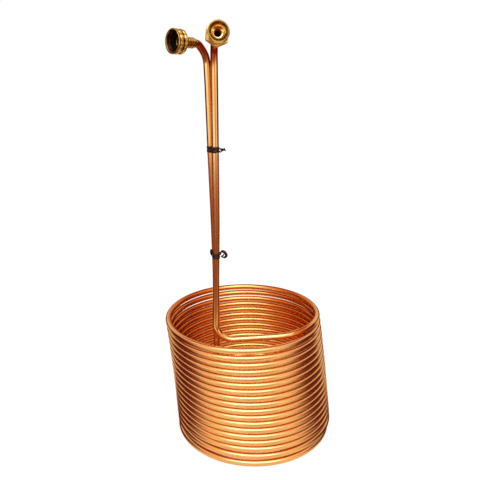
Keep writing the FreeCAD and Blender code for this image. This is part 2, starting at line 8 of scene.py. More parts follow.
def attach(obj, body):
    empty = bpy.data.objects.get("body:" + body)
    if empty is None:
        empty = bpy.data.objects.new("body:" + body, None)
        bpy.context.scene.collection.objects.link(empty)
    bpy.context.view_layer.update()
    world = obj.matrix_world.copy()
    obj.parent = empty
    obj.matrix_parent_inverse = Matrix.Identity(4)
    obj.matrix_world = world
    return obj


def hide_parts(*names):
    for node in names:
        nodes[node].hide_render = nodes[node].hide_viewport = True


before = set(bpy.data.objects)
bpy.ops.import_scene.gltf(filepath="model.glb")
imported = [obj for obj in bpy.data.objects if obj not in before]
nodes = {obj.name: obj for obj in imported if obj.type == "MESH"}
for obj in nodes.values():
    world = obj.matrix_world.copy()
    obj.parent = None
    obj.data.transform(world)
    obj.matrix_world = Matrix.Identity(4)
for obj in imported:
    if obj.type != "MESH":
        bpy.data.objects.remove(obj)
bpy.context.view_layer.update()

scene = bpy.context.scene

# Camera: in front of the chiller and a little above its middle, looking down into the
# coil's mouth, and turned slightly about its own line of sight.
CAMERA_PLACE = (-0.0135, -0.82436, 0.55958)
LOOK_ANGLE, ROLL_ANGLE = 73.656, -0.577
camera_data = bpy.data.cameras.new("camera")
camera_data.lens = 41.79
camera_data.sensor_width = 36.0
camera = bpy.data.objects.new("camera", camera_data)
camera.matrix_world = (
    Matrix.Translation(CAMERA_PLACE)
    @ Matrix.Rotation(math.radians(LOOK_ANGLE), 4, "X")
    @ Matrix.Rotation(math.radians(ROLL_ANGLE), 4, "Z")
)
scene.collection.objects.link(camera)
scene.camera = camera
scene.view_settings.view_transform = "Standard"

# Studio: a plain white floor that runs out of sight under a white sky, with three soft
# lamps. Polished metal mirrors a room of its own, brown at the sides, with lamps in front.
FLOOR_HALF = 8.0
FLOOR_GLOW = 0.64


def new_material(name):
    """A material with nodes, and its shader."""
    material = bpy.data.materials.new(name)
    material.use_nodes = True
    return material, material.node_tree.nodes["Principled BSDF"]


def made(name, form):
    """An object from a finished form."""
    mesh = bpy.data.meshes.new(name)
    form.to_mesh(mesh)
    form.free()
    piece = bpy.data.objects.new(name, mesh)
    scene.collection.objects.link(piece)
    return piece


floor_form = bmesh.new()
bmesh.ops.create_grid(floor_form, x_segments=1, y_segments=1, size=FLOOR_HALF)
floor = made("floor", floor_form)
floor.visible_glossy = False
floor_white, floor_shader = new_material("floor_white")
floor_shader.inputs["Base Color"].default_value = (0.9, 0.9, 0.9, 1)
floor_shader.inputs["Roughness"].default_value = 0.9
floor_shader.inputs["Specular IOR Level"].default_value = 0.0
floor_shader.inputs["Emission Color"].default_value = (1, 1, 1, 1)
floor.data.materials.append(floor_white)


def seen_rays(tree, *rays):
    """A mask of the named kinds of rays."""
    path = tree.nodes.new("ShaderNodeLightPath")
    total = path.outputs[rays[0]]
    for ray in rays[1:]:
        total = maths(tree, "MAXIMUM", total, path.outputs[ray])
    return total


def feed(tree, socket, value):
    """Links a socket into another, or sets that one to a plain value."""
    if isinstance(value, bpy.types.NodeSocket):
        tree.links.new(value, socket)
    else:
        socket.default_value = value


def maths(tree, operation, *values):
    """A Math node on sockets and plain numbers, and its output."""
    node = tree.nodes.new("ShaderNodeMath")
    node.operation = operation
    for socket, value in zip(node.inputs, values):
        feed(tree, socket, value)
    return node.outputs[0]


def product(tree, *masks):
    """All the masks multiplied."""
    total = masks[0]
    for mask in masks[1:]:
        total = maths(tree, "MULTIPLY", total, mask)
    return total


tree = floor_white.node_tree
shown = seen_rays(tree, "Is Camera Ray", "Is Glossy Ray", "Is Transmission Ray")
tree.links.new(product(tree, shown, FLOOR_GLOW), floor_shader.inputs["Emission Strength"])


def stepped(tree, value, low, high, bottom=0.0, top=1.0):
    """A smooth step of a value between two limits."""
    step = tree.nodes.new("ShaderNodeMapRange")
    step.interpolation_type = "SMOOTHSTEP"
    ends = {"Value": value, "From Min": low, "From Max": high, "To Min": bottom, "To Max": top}
    for name, number in ends.items():
        feed(tree, step.inputs[name], number)
    return step.outputs[0]


def turn_stepped(tree, turn, low, high, bottom=0.0, top=1.0):
    """A smooth step of an angle between two limits in degrees."""
    return stepped(tree, turn, math.radians(low), math.radians(high), bottom, top)


def blended(tree, factor, first, second, way="MIX"):
    """A Mix of two colours by a factor."""
    mix = tree.nodes.new("ShaderNodeMix")
    mix.data_type = "RGBA"
    mix.blend_type = way
    for name, value in (("Factor", factor), ("A", first), ("B", second)):
        feed(tree, next(s for s in mix.inputs if s.name == name and s.enabled), value)
    return next(s for s in mix.outputs if s.enabled)


def split(tree, vector):
    """The X, Y and Z of a vector."""
    parts = tree.nodes.new("ShaderNodeSeparateXYZ")
    tree.links.new(vector, parts.inputs[0])
    return parts.outputs


def coordinate_place(tree, coordinate):
    """A place in the named coordinates, and the three numbers in it."""
    place = tree.nodes.new("ShaderNodeTexCoord").outputs[coordinate]
    return place, split(tree, place)


def around(tree, parts):
    """The angle of a place about the upright axis, from the front to the right."""
    return maths(tree, "ARCTAN2", parts["X"], maths(tree, "MULTIPLY", parts["Y"], -1.0))


def side_shade(tree, turn, left, right):
    """A mask that rises towards both sides, between two angles in degrees on each."""
    leftward = maths(tree, "MULTIPLY", turn, -1.0)
    return maths(tree, "MAXIMUM", turn_stepped(tree, leftward, *left), turn_stepped(tree, turn, *right))


# The room that polished metal mirrors, by its direction: a pale wall in front with bright
# strips, brown sides, light high behind, and a softbox high up in front
NO_LIGHT, WHITE = (0, 0, 0, 1), (1, 1, 1, 1)
FRONT_LOW, FRONT_HIGH = (0.96, 0.80, 0.60, 1), (1.12, 0.90, 0.62, 1)
SIDE_LOW, SIDE_HIGH = (0.09, 0.014, 0.008, 1), (1.40, 1.0, 1.8, 1)
SIDE_STRIPS, FRONT_STREAK = (1.6, 2.0, 3.2, 1), (1.7, 2.1, 3.0, 1)
BELOW = (0.42, 0.17, 0.12, 1)
PALE_BACK = (0.95, 0.85, 1.0, 1)
DIM_CEILING = (0.40, 0.12, 0.05, 1)
SOFTBOX_LIGHT = (2.2, 3.0, 6.4, 1)
WARM_ROOM = (0.92, 0.77, 0.46, 1)
DIFFUSE_LIGHT = (0.45, 0.45, 0.45, 1)
STRIP_TURN = 54
world = bpy.data.worlds.new("studio")
scene.world = world
world.use_nodes = True
tree = world.node_tree
parts = coordinate_place(tree, "Generated")[1]
turn, height = around(tree, parts), parts["Z"]
either_side = maths(tree, "ABSOLUTE", turn)
side_wall = blended(tree, stepped(tree, height, 0.36, 0.56), SIDE_LOW, SIDE_HIGH)
wall = blended(tree, stepped(tree, height, 0.02, 0.20), FRONT_LOW, FRONT_HIGH)
from_strip = maths(tree, "ABSOLUTE", maths(tree, "SUBTRACT", either_side, math.radians(STRIP_TURN)))
strips = product(tree, turn_stepped(tree, from_strip, 8, 22, 1.0, 0.0),
                 stepped(tree, height, 0.02, 0.10, 1.0, 0.0))
wall = blended(tree, strips, wall, SIDE_STRIPS)
streak = product(tree, turn_stepped(tree, turn, -40, -30), turn_stepped(tree, turn, -12, -2, 1.0, 0.0),
                 stepped(tree, height, 0.0, 0.08, 1.0, 0.0))
wall = blended(tree, streak, wall, FRONT_STREAK)
wall = blended(tree, side_shade(tree, turn, (52, 94), (52, 94)), wall, side_wall)
wall = blended(tree, stepped(tree, height, -0.18, -0.125, 1.0, 0.0), wall, BELOW)
leaned_turn = maths(tree, "ADD", height, either_side)
high_behind = product(tree, turn_stepped(tree, leaned_turn, 128, 140), stepped(tree, height, 0.12, 0.24))
wall = blended(tree, high_behind, wall, PALE_BACK)
overhead = product(tree, turn_stepped(tree, either_side, 105, 130), stepped(tree, height, 0.62, 0.76))
wall = blended(tree, overhead, wall, DIM_CEILING)
softbox = product(tree, turn_stepped(tree, turn, -60, -26), turn_stepped(tree, turn, 15, 66, 1.0, 0.0),
                  stepped(tree, height, 0.36, 0.60))
wall = blended(tree, 1.0, wall, blended(tree, softbox, NO_LIGHT, SOFTBOX_LIGHT), "ADD")
mirrored = blended(tree, 1.0, wall, WARM_ROOM, "MULTIPLY")
unseen = blended(tree, seen_rays(tree, "Is Glossy Ray"), DIFFUSE_LIGHT, mirrored)
sky = blended(tree, seen_rays(tree, "Is Camera Ray", "Is Transmission Ray"), unseen, WHITE)
tree.links.new(sky, tree.nodes["Background"].inputs["Color"])

# The floor of that room, on a card that only mirrors see: white in front, brown at both
# sides and inside the coil, pale behind
FRONT_FLOOR = (1.04, 1.06, 1.12, 1)
SIDE_FLOOR = (0.17, 0.035, 0.035, 1)
COIL_FLOOR = (0.50, 0.10, 0.03, 1)
COIL_MIDDLE = (0.0076, 0.0045)
CARD_LEVEL = 0.0015
CARD_CORNERS = ((-1.5, -0.5), (1.5, -0.5), (1.5, 1.0), (-1.5, 1.0))


def vector_maths(tree, operation, first, second):
    """A Vector Math node on sockets and plain vectors."""
    node = tree.nodes.new("ShaderNodeVectorMath")
    node.operation = operation
    feed(tree, node.inputs[0], first)
    feed(tree, node.inputs[1], second)
    return node.outputs["Value" if operation in ("LENGTH", "DISTANCE") else "Vector"]


card_form = bmesh.new()
card_form.faces.new([card_form.verts.new((x, y, CARD_LEVEL)) for x, y in CARD_CORNERS])
card = made("mirrored_floor", card_form)
card.visible_camera = False
card.visible_diffuse = False
card.visible_shadow = False
card_finish, card_shader = new_material("mirrored_floor")
card_shader.inputs["Base Color"].default_value = NO_LIGHT
card_shader.inputs["Roughness"].default_value = 1.0
card_shader.inputs["Specular IOR Level"].default_value = 0.0
card_shader.inputs["Emission Strength"].default_value = 1.0
card.data.materials.append(card_finish)
tree = card_finish.node_tree
where, parts = coordinate_place(tree, "Object")
turn = around(tree, parts)
shade = blended(tree, side_shade(tree, turn, (34, 76), (36, 80)), FRONT_FLOOR, SIDE_FLOOR)
from_middle = vector_maths(tree, "DISTANCE", where, (*COIL_MIDDLE, CARD_LEVEL))
inside_coil = stepped(tree, from_middle, 0.112, 0.122, 1.0, 0.0)
shade = blended(tree, inside_coil, shade, COIL_FLOOR)
shade = blended(tree, turn_stepped(tree, maths(tree, "ABSOLUTE", turn), 112, 120), shade, PALE_BACK)
tree.links.new(blended(tree, 1.0, shade, WARM_ROOM, "MULTIPLY"), card_shader.inputs["Emission Color"])


def soft_lamp(name, place, target, width, height, power):
    """A rectangular soft lamp that faces a target and that no mirror shows."""
    data = bpy.data.lights.new(name, "AREA")
    data.shape = "RECTANGLE"
    data.size = width
    data.size_y = height
    data.energy = power
    lamp = bpy.data.objects.new(name, data)
    way = Vector(target) - Vector(place)
    lamp.matrix_world = Matrix.Translation(place) @ way.to_track_quat("-Z", "Y").to_matrix().to_4x4()
    lamp.visible_glossy = False
    scene.collection.objects.link(lamp)


soft_lamp("ceiling_lamp", (0.1, -0.5, 1.5), (0, 0, 0.1), width=0.9, height=0.6, power=3.0)
soft_lamp("left_lamp", (-1.20, -0.82, 0.52), (0, -0.1, 0.45), width=0.25, height=0.5, power=2.2)
soft_lamp("right_lamp", (1.36, -0.50, 0.52), (0, -0.1, 0.45), width=0.25, height=0.5, power=2.2)

# Copper tube: soft drawn tube, wound by hand over a drum. It is merged from the coil's
# solid so that its skin is smooth, and its sharp edges stay at the cut ends and the foot.
MERGE_REACH = 0.000004
SHARP_ANGLE = 35.0


def shade_smooth(form, sharp_angle):
    """Smooth shading all over a form, with its edges sharp from an angle on."""
    for face in form.faces:
        face.smooth = True
    for edge in form.edges:
        if len(edge.link_faces) == 2:
            edge.smooth = edge.calc_face_angle() < math.radians(sharp_angle)


def merged_copy(node, name, sharp_angle=SHARP_ANGLE):
    """A smooth, merged copy of a CAD node's mesh under a new name."""
    mesh = nodes[node].data.copy()
    mesh.name = name
    form = bmesh.new()
    form.from_mesh(mesh)
    bmesh.ops.remove_doubles(form, verts=form.verts, dist=MERGE_REACH)
    shade_smooth(form, sharp_angle)
    form.to_mesh(mesh)
    form.free()
    mesh.materials.clear()
    for attribute in ("custom_normal", "sharp_face"):
        if attribute in mesh.attributes:
            mesh.attributes.remove(mesh.attributes[attribute])
    piece = bpy.data.objects.new(name, mesh)
    scene.collection.objects.link(piece)
    return piece


def stand_in(piece, node, body, material):
    """Puts a detailed piece in place of a CAD node."""
    piece.data.materials.append(material)
    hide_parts(node)
    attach(piece, body)


def noise(tree, vector, scale, detail=2.0, w=None):
    """A noise value at a place, in three or four dimensions."""
    node = tree.nodes.new("ShaderNodeTexNoise")
    node.noise_dimensions = "3D" if w is None else "4D"
    node.inputs["Scale"].default_value = scale
    node.inputs["Detail"].default_value = detail
    feed(tree, node.inputs["Vector"], vector)
    if w is not None:
        feed(tree, node.inputs["W"], w)
    return node.outputs["Fac"]


def joined(tree, x, y):
    """A vector of two numbers."""
    join = tree.nodes.new("ShaderNodeCombineXYZ")
    feed(tree, join.inputs["X"], x)
    feed(tree, join.inputs["Y"], y)
    return join.outputs[0]


def bumped(tree, shader, height, strength, distance):
    """Feeds a height through a Bump node into a shader's normal."""
    bump = tree.nodes.new("ShaderNodeBump")
    bump.inputs["Strength"].default_value = strength
    bump.inputs["Distance"].default_value = distance
    tree.links.new(height, bump.inputs["Height"])
    tree.links.new(bump.outputs["Normal"], shader.inputs["Normal"])


def node_group(name, inputs, outputs):
    """An empty shader node group, with the sockets of its two ends."""
    group = bpy.data.node_groups.new(name, "ShaderNodeTree")
    for title, kind in inputs.items():
        group.interface.new_socket(title, in_out="INPUT", socket_type=kind)
    for title in outputs:
        group.interface.new_socket(title, in_out="OUTPUT", socket_type="NodeSocketFloat")
    given = group.nodes.new("NodeGroupInput").outputs
    return group, given, group.nodes.new("NodeGroupOutput").inputs


def placed(tree, group, **values):
    """A node group placed in a material with its own values, and its outputs."""
    node = tree.nodes.new("ShaderNodeGroup")
    node.node_tree = group
    for title, value in values.items():
        feed(tree, node.inputs[title], value)
    return node.outputs


# Marks of handling on metal and rubber: cloudy patches, fine streaks and specks
SPECK_OFFSET = 7.0
handling_marks, given, wanted = node_group(
    "handling_marks", {"Place": "NodeSocketVector", "Offset": "NodeSocketFloat"},
    ("Clouds", "Streaks", "Specks"))
clouds = noise(handling_marks, given["Place"], 14.0, 3.0, given["Offset"])
feed(handling_marks, wanted["Clouds"], stepped(handling_marks, clouds, 0.36, 0.68))
streaks = noise(handling_marks, given["Place"], 90.0, 4.0, given["Offset"])
feed(handling_marks, wanted["Streaks"], stepped(handling_marks, streaks, 0.30, 0.72))
other_offset = maths(handling_marks, "ADD", given["Offset"], SPECK_OFFSET)
specks = noise(handling_marks, given["Place"], 60.0, 1.0, other_offset)
feed(handling_marks, wanted["Specks"], stepped(handling_marks, specks, 0.73, 0.80))

CLEAN_COPPER = (0.924, 0.555, 0.250, 1)
BROWNED_COPPER = (0.730, 0.380, 0.185, 1)
HEATED_COPPER = (0.360, 0.030, 0.003, 1)
RISER_SHADE_COPPER = (0.565, 0.200, 0.070, 1)
SPECK_BROWN = (0.170, 0.060, 0.050, 1)
INNER_REFLECTION_TINT = (1.0, 0.90, 0.60, 1)
INNER_SIDE_SHADE_TINT = (0.80, 0.42, 0.18, 1)
copper, copper_shader = new_material("drawn_copper")
copper_shader.inputs["Metallic"].default_value = 1.0
tree = copper.node_tree
where, parts = coordinate_place(tree, "Object")
level = parts["Z"]

# Its marks are drawn out along the tube: round the coil, and up both risers
RISER_MIDDLE = (-0.048, -0.080)
ALONG_COIL, ALONG_RISER = (0.5, 0.5, 5.0), (8.0, 8.0, 0.5)
MARKS_PER_METRE = 110.0
from_middle = vector_maths(tree, "SUBTRACT", where, (*COIL_MIDDLE, 0))
outward = vector_maths(tree, "LENGTH", vector_maths(tree, "MULTIPLY", from_middle, (1, 1, 0)), (0, 0, 0))
on_plan = vector_maths(tree, "MULTIPLY", where, (1, 1, 0))
from_riser = vector_maths(tree, "DISTANCE", on_plan, (*RISER_MIDDLE, 0))
on_riser = maths(tree, "MAXIMUM", stepped(tree, level, 0.212, 0.222),
                 stepped(tree, from_riser, 0.016, 0.020, 1.0, 0.0))
drawn_place = blended(tree, on_riser, vector_maths(tree, "MULTIPLY", where, ALONG_COIL),
                      vector_maths(tree, "MULTIPLY", where, ALONG_RISER))
drawn_offset = product(tree, outward, MARKS_PER_METRE, maths(tree, "SUBTRACT", 1.0, on_riser))
copper_marks = placed(tree, handling_marks, Place=drawn_place, Offset=drawn_offset)

# Browned in clouds and streaks, reddened by the torch at the top, and in the middle of the risers darker
# with a painted dark reflection, and rougher
browned = product(tree, copper_marks["Clouds"], 0.35)
copper_colour = blended(tree, browned, CLEAN_COPPER, BROWNED_COPPER)
streaked = product(tree, copper_marks["Streaks"], 0.30)
copper_colour = blended(tree, streaked, copper_colour, BROWNED_COPPER)
ragged_level = maths(tree, "ADD", level, product(tree, copper_marks["Clouds"], 0.010))
near_solder = stepped(tree, ragged_level, 0.577, 0.592)
copper_colour = blended(tree, product(tree, near_solder, 0.95), copper_colour, HEATED_COPPER)
# Painted dark reflection: the middle of the risers is darkened in colour, and made rougher there
riser_shade_and_dullness = product(tree, stepped(tree, level, 0.21, 0.27), stepped(tree, level, 0.37, 0.47, 1.0, 0.0))
copper_colour = blended(tree, product(tree, riser_shade_and_dullness, 0.85), copper_colour, RISER_SHADE_COPPER)
copper_colour = blended(tree, product(tree, copper_marks["Specks"], 0.5), copper_colour, SPECK_BROWN)

# The inside of the coil, with a painted reflection: the side of each turn that looks at the
# coil's leaning axis is tinted a deeper orange, and painted darker to the left and right than at the back
COIL_FOOT, COIL_RISE, COIL_RADIUS, COIL_NARROWING = 0.0043, 0.190, 0.1225, 0.0035
COIL_LEAN, COIL_BEND = 0.0123, 0.0063
share = maths(tree, "MULTIPLY_ADD", level, 1 / COIL_RISE, -COIL_FOOT / COIL_RISE)
leaned = product(tree, share, maths(tree, "MULTIPLY_ADD", share, COIL_BEND, COIL_LEAN))
aside = maths(tree, "SUBTRACT", parts["X"], maths(tree, "SUBTRACT", COIL_MIDDLE[0], leaned))
from_axis = joined(tree, aside, maths(tree, "SUBTRACT", parts["Y"], COIL_MIDDLE[1]))
coil_radius = maths(tree, "MULTIPLY_ADD", share, -COIL_NARROWING, COIL_RADIUS)
off_middle = maths(tree, "SUBTRACT", vector_maths(tree, "LENGTH", from_axis, (0, 0, 0)), coil_radius)
facing_in = product(tree, stepped(tree, off_middle, -0.0018, 0.0008, 1.0, 0.0),
                    stepped(tree, off_middle, -0.0070, -0.0060))
to_side = stepped(tree, maths(tree, "ABSOLUTE", aside), 0.012, 0.075)
# Painted reflection and shade on the inner face of the turns
inside_painted_colour = blended(tree, 1.0, copper_colour, blended(tree, to_side, INNER_REFLECTION_TINT, INNER_SIDE_SHADE_TINT), "MULTIPLY")
copper_colour = blended(tree, facing_in, copper_colour, inside_painted_colour)
tree.links.new(copper_colour, copper_shader.inputs["Base Color"])
dullness = maths(tree, "MULTIPLY_ADD", copper_marks["Clouds"], 0.07, 0.13)
dullness = maths(tree, "MULTIPLY_ADD", riser_shade_and_dullness, 0.10, dullness)
dullness = maths(tree, "MULTIPLY_ADD", near_solder, 0.10, dullness)
tree.links.new(dullness, copper_shader.inputs["Roughness"])
bumped(tree, copper_shader, copper_marks["Streaks"], 0.12, 0.0002)
tube = merged_copy("copper_tube", "wound_copper_tube")
stand_in(tube, "copper_tube", "chiller", copper)

# Outlet fitting: a brass hexagon with a male hose thread in front and a hose barb behind,
# turned and milled from bar. The tube goes through the barb and is soldered in.
def fitting_place(mouth, way):
    """The frame of a fitting in millimetres, with its mouth at the origin and its depth along Z."""
    depth = -Vector(way).normalized()
    upward = (Vector((0, 0, 1)) - depth * depth.z).normalized()
    turned = Matrix((upward.cross(depth), upward, depth)).transposed().to_4x4()
    return Matrix.Translation(Vector(mouth) / 1000) @ turned @ Matrix.Scale(0.001, 4)


SKIN_STEPS = 120
SKIN_JOINT = 0.1
NEAR = 0.03


def joined_on(vertex):
    """All vertices that hang together with one, itself among them."""
    found = {vertex}
    frontier = [vertex]
    while frontier:
        for edge in frontier.pop().link_edges:
            for other in edge.verts:
                if other not in found:
                    found.add(other)
                    frontier.append(other)
    return found


def reskinned(piece, place, low, high, start, end, rows, shape):
    """Gives a fitting a new skin between two depths: the faces between two radii come out, and a
    spun sleeve that a function of depth and angle forms is bridged in."""
    form = bmesh.new()
    form.from_mesh(piece.data)
    bmesh.ops.transform(form, matrix=place.inverted(), verts=form.verts)
    for depth in (start, end):
        bmesh.ops.bisect_plane(form, geom=list(form.verts) + list(form.edges) + list(form.faces),
                               dist=0.01, plane_co=(0, 0, depth), plane_no=(0, 0, 1))

    def on_wall(vertex):
        reach = math.hypot(vertex.co.x, vertex.co.y)
        return start - NEAR < vertex.co.z < end + NEAR and low < reach < high

    old_wall = [face for face in form.faces if all(on_wall(vertex) for vertex in face.verts)
                and start < face.calc_center_median().z < end]
    bmesh.ops.delete(form, geom=old_wall, context="FACES")
    last = form.verts.new((high, 0, start + SKIN_JOINT))
    line = [last]
    for row in range(rows):
        last = bmesh.ops.extrude_vert_indiv(form, verts=[last])["verts"][0]
        last.co.z = start + SKIN_JOINT + (end - start - 2 * SKIN_JOINT) * (row + 1) / rows
        line.append(last)
    edges = list({edge for vertex in line for edge in vertex.link_edges})
    bmesh.ops.spin(form, geom=line + edges, cent=(0, 0, 0), axis=(0, 0, 1),
                   angle=2 * math.pi, steps=SKIN_STEPS, use_merge=True)
    for vertex in joined_on(line[0]):
        scale = shape(vertex.co.z, math.atan2(vertex.co.y, vertex.co.x)) / high
        vertex.co.x *= scale
        vertex.co.y *= scale
    open_edges = [edge for edge in form.edges if edge.is_boundary]
    for depth in (start, end):
        rims = [edge for edge in open_edges
                if all(abs(vertex.co.z - depth) < SKIN_JOINT + NEAR for vertex in edge.verts)]
        bmesh.ops.bridge_loops(form, edges=rims)
    bmesh.ops.recalc_face_normals(form, faces=form.faces)
    shade_smooth(form, SHARP_ANGLE)
    bmesh.ops.transform(form, matrix=place, verts=form.verts)
    form.to_mesh(piece.data)
    form.free()


def widened_mouth(piece, place, old_reach, new_reach):
    """Moves the edge of a fitting's mouth outwards."""
    for vertex in piece.data.vertices:
        spot = place.inverted() @ vertex.co
        if abs(spot.z) < NEAR and abs(math.hypot(spot.x, spot.y) - old_reach) < SKIN_JOINT:
            spot.xy *= new_reach / old_reach
            vertex.co = place @ spot


# How turned brass wears and is shaded, in a fitting's own millimetres: rings left by the tool,
# painted shade about a radius where a recess lies, and a rub on the ridges beyond another
turned_wear_and_shade, given, wanted = node_group(
    "turned_wear_and_shade", {"Place": "NodeSocketVector", "Recess": "NodeSocketFloat", "Ridge": "NodeSocketFloat",
                    "Clouds": "NodeSocketFloat"}, ("Reach", "Recess Shade", "Rubbed", "Rings"))
flat_place = vector_maths(turned_wear_and_shade, "MULTIPLY", given["Place"], (1, 1, 0))
reach = vector_maths(turned_wear_and_shade, "LENGTH", flat_place, (0, 0, 0))
feed(turned_wear_and_shade, wanted["Reach"], reach)
above_recess = maths(turned_wear_and_shade, "SUBTRACT", reach, given["Recess"])
# Painted shade: darker in a band just inside the recess radius
recess_shade = product(turned_wear_and_shade, stepped(turned_wear_and_shade, above_recess, -0.3, 0.5, 1.0, 0.0),
               stepped(turned_wear_and_shade, above_recess, -1.5, -1.3),
               maths(turned_wear_and_shade, "MULTIPLY_ADD", given["Clouds"], 0.2, 0.75))
feed(turned_wear_and_shade, wanted["Recess Shade"], recess_shade)
above_ridge = maths(turned_wear_and_shade, "SUBTRACT", reach, given["Ridge"])
feed(turned_wear_and_shade, wanted["Rubbed"], stepped(turned_wear_and_shade, above_ridge, -0.3, 0.1))
ring_place = joined(turned_wear_and_shade, reach, split(turned_wear_and_shade, given["Place"])["Z"])
feed(turned_wear_and_shade, wanted["Rings"], noise(turned_wear_and_shade, ring_place, 3.2, 3.0))

BRIGHT_BRASS, DULL_BRASS = (0.880, 0.660, 0.190, 1), (0.700, 0.470, 0.100, 1)
RUBBED_AND_HIGHLIT_BRASS, FUNNEL_LIGHTENED_BRASS = (0.957, 0.805, 0.350, 1), (0.95, 0.82, 0.36, 1)
BRASS_RECESS_SHADE, BRASS_INSIDE_SHADE = (0.110, 0.040, 0.020, 1), (0.050, 0.018, 0.014, 1)
FUNNEL_TOP_REFLECTION, FLUX_STAIN = (0.40, 0.10, 0.015, 1), (0.30, 0.04, 0.010, 1)
BRASS_MARK_SCALE = 0.006


def brass_finish(name, place, recess, ridge, seed, shaded_inside=None, funnel=None):
    """Turned brass with its wear and painted light. The shaded inside, given as a radius and a depth, is
    painted with shade, nearly black, inside that radius from that depth on. A funnel, given in the same
    way, is painted lighter down to that depth, with a painted red-brown reflection at the top and brown
    flux stain beside the tube. Sizes are in millimetres."""
    material, shader = new_material(name)
    shader.inputs["Metallic"].default_value = 1.0
    tree = material.node_tree
    inward = place.inverted()
    mapping = tree.nodes.new("ShaderNodeMapping")
    mapping.inputs["Location"].default_value = inward.to_translation()
    mapping.inputs["Rotation"].default_value = inward.to_euler()
    mapping.inputs["Scale"].default_value = (1000, 1000, 1000)
    tree.links.new(coordinate_place(tree, "Object")[0], mapping.inputs["Vector"])
    local = mapping.outputs["Vector"]
    parts = split(tree, local)
    marks_place = vector_maths(tree, "MULTIPLY", local, (BRASS_MARK_SCALE,) * 3)
    brass_marks = placed(tree, handling_marks, Place=marks_place, Offset=seed)
    wear_and_shade = placed(tree, turned_wear_and_shade, Place=local, Recess=recess, Ridge=ridge, Clouds=brass_marks["Clouds"])
    colour = blended(tree, brass_marks["Clouds"], BRIGHT_BRASS, DULL_BRASS)
    # Painted highlight: the mouth's rim is made lighter, in the same colour as the rubbed ridges
    mouth_rim_highlight = product(tree, stepped(tree, parts["Z"], 0.05, 0.5, 1.0, 0.0),
                         stepped(tree, wear_and_shade["Reach"], 10.0, 10.5))
    rubbed_and_highlit = maths(tree, "MAXIMUM", product(tree, wear_and_shade["Rubbed"], 0.5), mouth_rim_highlight)
    colour = blended(tree, rubbed_and_highlit, colour, RUBBED_AND_HIGHLIT_BRASS)
    # Painted shade in the recesses
    colour = blended(tree, wear_and_shade["Recess Shade"], colour, BRASS_RECESS_SHADE)
    if shaded_inside:
        reach, depth = shaded_inside
        # Painted shade: nearly black inside the given radius, from the given depth on
        inside_shade = product(tree, stepped(tree, wear_and_shade["Reach"], reach, reach + 0.2, 1.0, 0.0),
                          stepped(tree, parts["Z"], depth, depth + 0.8))
        colour = blended(tree, inside_shade, colour, BRASS_INSIDE_SHADE)
    if funnel:
        reach, depth = funnel
        in_funnel = product(tree, stepped(tree, wear_and_shade["Reach"], reach, reach + 0.3, 1.0, 0.0),
                            stepped(tree, parts["Z"], depth, depth + 0.1, 1.0, 0.0))
        # Painted light: the funnel's brass is made lighter, so that it looks lit from the front
        colour = blended(tree, in_funnel, colour, FUNNEL_LIGHTENED_BRASS)
        # Painted reflection: red-brown at the top of the funnel, where the copper below is mirrored
        from_top = maths(tree, "ABSOLUTE", maths(tree, "ARCTAN2", parts["X"], parts["Y"]))
        top_reflection = product(tree, turn_stepped(tree, from_top, 30, 62, 0.85, 0.0), in_funnel)
        colour = blended(tree, top_reflection, colour, FUNNEL_TOP_REFLECTION)
        fluxed = product(tree, stepped(tree, wear_and_shade["Reach"], 4.8, 5.2, 1.0, 0.0), in_funnel)
        colour = blended(tree, fluxed, colour, FLUX_STAIN)
    tree.links.new(colour, shader.inputs["Base Color"])
    dullness = maths(tree, "MULTIPLY_ADD", brass_marks["Streaks"], 0.10, 0.14)
    tree.links.new(maths(tree, "MULTIPLY_ADD", wear_and_shade["Recess Shade"], 0.25, dullness), shader.inputs["Roughness"])
    bumped(tree, shader, wear_and_shade["Rings"], 0.10, 0.0003)
    return material


HOSE_PITCH = 25.4 / 11.5
CREST_SHARE, FLANK_SHARE, RUN_IN, RUN_OUT = 0.14, 0.72, 0.4, 0.5
MALE_RADIUS, MALE_RIM, MALE_THREAD_END, MALE_THREAD_DEPTH = 13.485, 12.45, 11.2, 1.35
OLD_MOUTH, MOUTH, LIP, LIP_DEPTH, LIP_FLARE = 10.3, 11.3, 10.9, 0.9, 0.3
FUNNEL_END, BORE, BORE_END = 9.2, 4.7, 12.9
OUTLET_MOUTH, OUTLET_WAY = (-36.0283, -128.7759, 611.168), (0.154198, -0.973567, 0.168489)
OUTLET_PLACE = fitting_place(OUTLET_MOUTH, OUTLET_WAY)


def thread_groove(depth, angle, start, end):
    """How deep a hose thread's groove is at a place, from 0 on its crest to 1 at its root."""
    flank = abs(2 * ((depth / HOSE_PITCH - angle / (2 * math.pi)) % 1.0) - 1)
    fade = min(1.0, (end - depth) / RUN_OUT, (depth - start) / RUN_IN)
    return min(max((flank - CREST_SHARE) / FLANK_SHARE, 0.0), 1.0) * fade


def male_thread(depth, angle):
    """The radius of the male thread with its bevelled start."""
    bevel = MALE_RADIUS - MALE_RIM - depth
    groove = MALE_THREAD_DEPTH * thread_groove(depth, angle, 0.0, MALE_THREAD_END)
    return MALE_RADIUS - max(bevel, groove, 0.0)


def male_funnel(depth, angle):
    """The radius of the male end's mouth, the same at every angle: a short lip, a bowl and the
    bore for the tube."""
    share = min(max((depth - LIP_DEPTH) / (FUNNEL_END - LIP_DEPTH), 0.0), 1.0)
    lip = LIP_FLARE * max(1 - depth / LIP_DEPTH, 0.0)
    return BORE + (LIP - BORE) * (1 - share ** 1.7) ** 0.62 + lip


